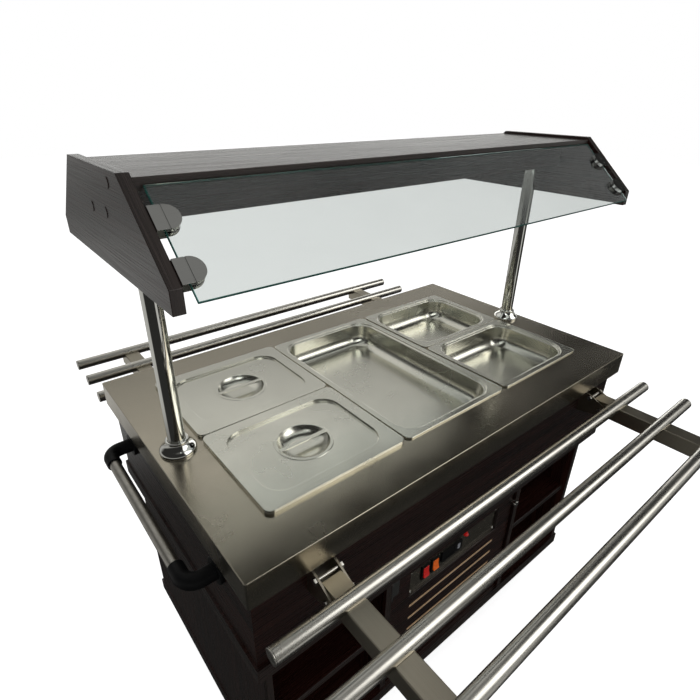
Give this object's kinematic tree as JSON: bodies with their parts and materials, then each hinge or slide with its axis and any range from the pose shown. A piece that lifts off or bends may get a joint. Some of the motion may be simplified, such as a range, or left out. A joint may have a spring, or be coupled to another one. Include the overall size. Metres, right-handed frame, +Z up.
{
  "type": "mobile heated buffet counter",
  "caption": "Board cabinet on castors with a heated steel well of lift-out food pans, folding tray slides and a post-carried canopy with sloping glass guards.",
  "frame": {"origin": "on the floor under the middle of the counter", "axes": "+Z up, +X along the counter to the open pans' end, -Y towards the control side"},
  "size_m": [1.295, 1.312, 1.41],
  "materials": {
    "laminate": "satin dark wood-grain laminate",
    "core_board": "raw plywood",
    "counter_steel": "brushed",
    "tank_steel": "mill",
    "pan_steel": "bright pressed",
    "polished_steel": "polished",
    "satin_steel": "satin",
    "clamp_chrome": "satin chrome",
    "wool": "mineral wool",
    "heater_sheath": "oxidised sheath",
    "brass": "plain",
    "lever_red": "dipped",
    "glass": "clear toughened",
    "black_plastic": "moulded",
    "key_grey": "moulded",
    "red_lens": "lit lens",
    "amber_lens": "lit lens",
    "zinc": "zinc plated",
    "wheel_rubber": "moulded"
  },
  "bodies": {
    "carcass": {"base_board": "laminate", "cabinet_uprights": "laminate", "cabinet_back": "laminate", "bay_shelves": "laminate", "mid_board": "laminate", "upper_panels": "laminate", "counter_core": "core_board", "counter_top": "counter_steel", "well_tank": "tank_steel", "well_wool": "wool", "pan_bars": "tank_steel", "heating_element": "heater_sheath", "temperature_probe": "tank_steel", "drain_valve": "brass", "cable_gland": "black_plastic", "posts": "polished_steel", "post_rosettes": "polished_steel", "canopy_ends": "laminate", "canopy_shelf": "laminate", "guard_glass": "glass", "glass_clamps": "clamp_chrome", "slide_brackets": "satin_steel", "slide_bolts": "polished_steel", "handle_grips": "polished_steel", "handle_elbows": "black_plastic", "hinge_leaves_fixed": "clamp_chrome", "castor_plates": "zinc"},
    "front_slide": {"front_slide_arms": "satin_steel", "front_slide_tubes": "polished_steel"},
    "rear_slide": {"rear_slide_arms": "satin_steel", "rear_slide_tubes": "polished_steel"},
    "door": {"service_door": "laminate", "hinge_leaves_door": "clamp_chrome", "door_knob": "polished_steel", "control_plate": "counter_steel", "rocker_bezels": "black_plastic", "thermostat": "black_plastic", "pilot_lamp": "red_lens"},
    "drain_lever": {"drain_lever": "lever_red"},
    "pan_full": {"pan_full": "pan_steel"},
    "pan_half_left_front": {"pan_half_left_front": "pan_steel"},
    "pan_half_left_rear": {"pan_half_left_rear": "pan_steel"},
    "pan_half_right_front": {"pan_half_right_front": "pan_steel"},
    "pan_half_right_rear": {"pan_half_right_rear": "pan_steel"},
    "lid_front": {"lid_front": "pan_steel"},
    "lid_rear": {"lid_rear": "pan_steel"},
    "rocker_red": {"rocker_red": "red_lens"},
    "rocker_amber": {"rocker_amber": "amber_lens"},
    "thermostat_key_up": {"thermostat_key_up": "key_grey"},
    "thermostat_key_down": {"thermostat_key_down": "key_grey"},
    "castor_fork_front_left": {"castor_fork_front_left": "zinc"},
    "castor_wheel_front_left": {"castor_wheel_front_left": "wheel_rubber"},
    "brake_pedal_front_left": {"brake_pedal_front_left": "zinc"},
    "castor_fork_front_right": {"castor_fork_front_right": "zinc"},
    "castor_wheel_front_right": {"castor_wheel_front_right": "wheel_rubber"},
    "brake_pedal_front_right": {"brake_pedal_front_right": "zinc"},
    "castor_fork_rear_left": {"castor_fork_rear_left": "zinc"},
    "castor_wheel_rear_left": {"castor_wheel_rear_left": "wheel_rubber"},
    "castor_fork_rear_right": {"castor_fork_rear_right": "zinc"},
    "castor_wheel_rear_right": {"castor_wheel_rear_right": "wheel_rubber"}
  },
  "joints": [
    {"name": "front_slide_fold", "type": "hinge", "parent": "carcass", "child": "front_slide", "pos_m": [0, -0.396, 0.772], "axis": [-1, 0, 0], "range_deg": [-90, 0]},
    {"name": "rear_slide_fold", "type": "hinge", "parent": "carcass", "child": "rear_slide", "pos_m": [0, 0.396, 0.772], "axis": [1, 0, 0], "range_deg": [-90, 0]},
    {"name": "door_swing", "type": "hinge", "parent": "carcass", "child": "door", "pos_m": [-0.2305, -0.3145, 0.382], "axis": [0, 0, -1], "range_deg": [0, 100]},
    {"name": "red_rocker_tip", "type": "hinge", "parent": "door", "child": "rocker_red", "pos_m": [-0.11, -0.305, 0.482], "axis": [1, 0, 0], "range_deg": [0, 16]},
    {"name": "amber_rocker_tip", "type": "hinge", "parent": "door", "child": "rocker_amber", "pos_m": [-0.076, -0.305, 0.482], "axis": [1, 0, 0], "range_deg": [0, 16]},
    {"name": "up_key_push", "type": "slide", "parent": "door", "child": "thermostat_key_up", "axis": [0, 1, 0], "range_m": [0, 0.0008], "stiffness_N_per_m": 250},
    {"name": "down_key_push", "type": "slide", "parent": "door", "child": "thermostat_key_down", "axis": [0, 1, 0], "range_m": [0, 0.0008], "stiffness_N_per_m": 250},
    {"name": "drain_lever_turn", "type": "hinge", "parent": "carcass", "child": "drain_lever", "pos_m": [0.15, -0.184, 0.48], "axis": [0, 1, 0], "range_deg": [0, 90]},
    {"name": "pan_full_lift", "type": "slide", "parent": "carcass", "child": "pan_full", "axis": [0, 0, 1], "range_m": [0, 0.09]},
    {"name": "pan_half_left_front_lift", "type": "slide", "parent": "carcass", "child": "pan_half_left_front", "axis": [0, 0, 1], "range_m": [0, 0.09]},
    {"name": "pan_half_left_rear_lift", "type": "slide", "parent": "carcass", "child": "pan_half_left_rear", "axis": [0, 0, 1], "range_m": [0, 0.09]},
    {"name": "pan_half_right_front_lift", "type": "slide", "parent": "carcass", "child": "pan_half_right_front", "axis": [0, 0, 1], "range_m": [0, 0.09]},
    {"name": "pan_half_right_rear_lift", "type": "slide", "parent": "carcass", "child": "pan_half_right_rear", "axis": [0, 0, 1], "range_m": [0, 0.09]},
    {"name": "lid_front_lift", "type": "slide", "parent": "pan_half_left_front", "child": "lid_front", "axis": [0, 0, 1], "range_m": [0, 0.06]},
    {"name": "lid_rear_lift", "type": "slide", "parent": "pan_half_left_rear", "child": "lid_rear", "axis": [0, 0, 1], "range_m": [0, 0.06]},
    {"name": "front_left_swivel", "type": "hinge", "parent": "carcass", "child": "castor_fork_front_left", "pos_m": [-0.467, -0.228, 0.12], "axis": [0, 0, 1], "continuous": true},
    {"name": "front_left_roll", "type": "hinge", "parent": "castor_fork_front_left", "child": "castor_wheel_front_left", "pos_m": [-0.499, -0.228, 0.05], "axis": [0, 1, 0], "continuous": true},
    {"name": "front_left_brake", "type": "hinge", "parent": "castor_fork_front_left", "child": "brake_pedal_front_left", "pos_m": [-0.525, -0.228, 0.104], "axis": [0, -1, 0], "range_deg": [0, 10]},
    {"name": "front_right_swivel", "type": "hinge", "parent": "carcass", "child": "castor_fork_front_right", "pos_m": [0.467, -0.228, 0.12], "axis": [0, 0, 1], "continuous": true},
    {"name": "front_right_roll", "type": "hinge", "parent": "castor_fork_front_right", "child": "castor_wheel_front_right", "pos_m": [0.499, -0.228, 0.05], "axis": [0, 1, 0], "continuous": true},
    {"name": "front_right_brake", "type": "hinge", "parent": "castor_fork_front_right", "child": "brake_pedal_front_right", "pos_m": [0.525, -0.228, 0.104], "axis": [0, 1, 0], "range_deg": [0, 10]},
    {"name": "rear_left_swivel", "type": "hinge", "parent": "carcass", "child": "castor_fork_rear_left", "pos_m": [-0.467, 0.245, 0.12], "axis": [0, 0, 1], "continuous": true},
    {"name": "rear_left_roll", "type": "hinge", "parent": "castor_fork_rear_left", "child": "castor_wheel_rear_left", "pos_m": [-0.499, 0.245, 0.05], "axis": [0, 1, 0], "continuous": true},
    {"name": "rear_right_swivel", "type": "hinge", "parent": "carcass", "child": "castor_fork_rear_right", "pos_m": [0.467, 0.245, 0.12], "axis": [0, 0, 1], "continuous": true},
    {"name": "rear_right_roll", "type": "hinge", "parent": "castor_fork_rear_right", "child": "castor_wheel_rear_right", "pos_m": [0.499, 0.245, 0.05], "axis": [0, 1, 0], "continuous": true}
  ]
}
